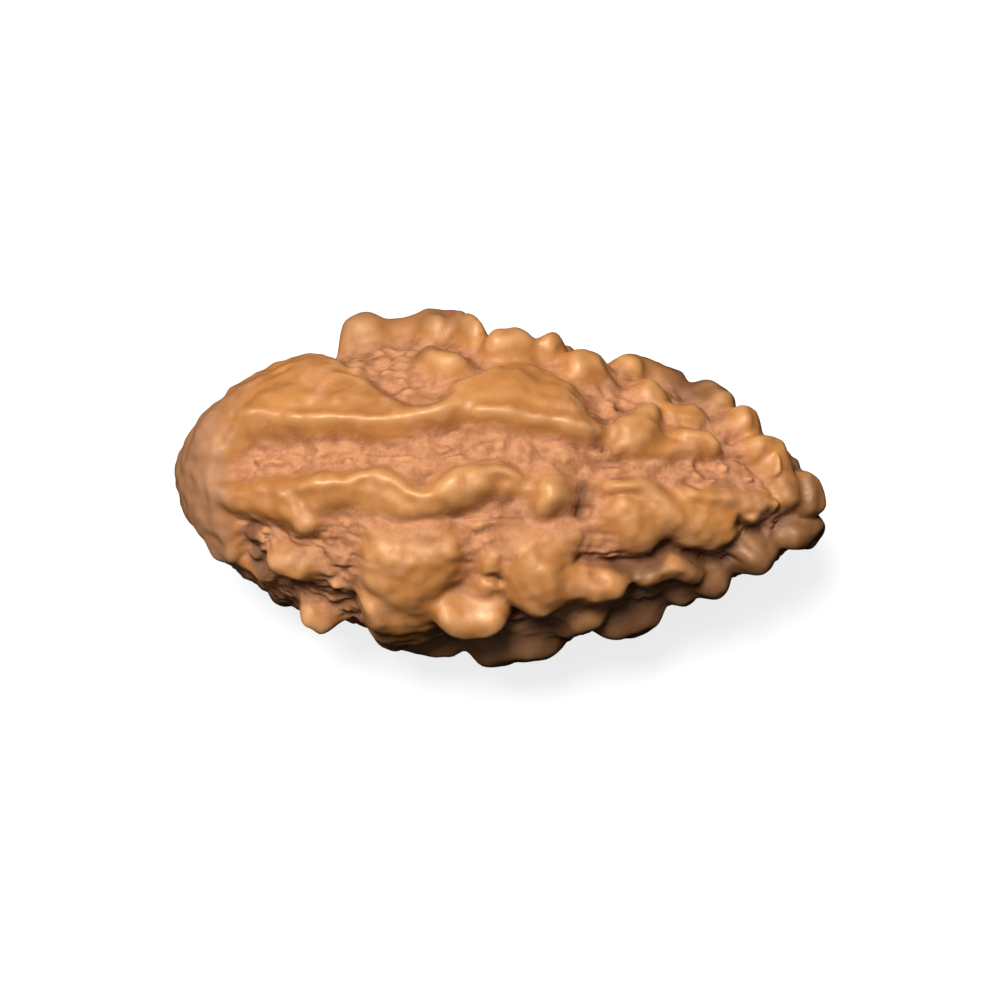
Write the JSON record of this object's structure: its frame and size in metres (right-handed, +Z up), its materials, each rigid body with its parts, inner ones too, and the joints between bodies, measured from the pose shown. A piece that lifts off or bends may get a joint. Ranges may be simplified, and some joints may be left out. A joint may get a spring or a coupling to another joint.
{
  "type": "rudraksha seed",
  "caption": "Rudraksha seed: a blunt-ended oval woody stone tapering to a knobbly tip, with a smooth-lipped groove along its top and lumps raised over a rough floor.",
  "frame": {"origin": "bottom centre of the seed's box, on the surface it rests on", "axes": "+X from the blunt end to the tip along the groove, +Z up out of the groove, +Y across"},
  "size_m": [0.024, 0.0128, 0.0108],
  "materials": {
    "stone": "satin"
  },
  "bodies": {
    "root": {"seed": "stone"}
  },
  "joints": []
}
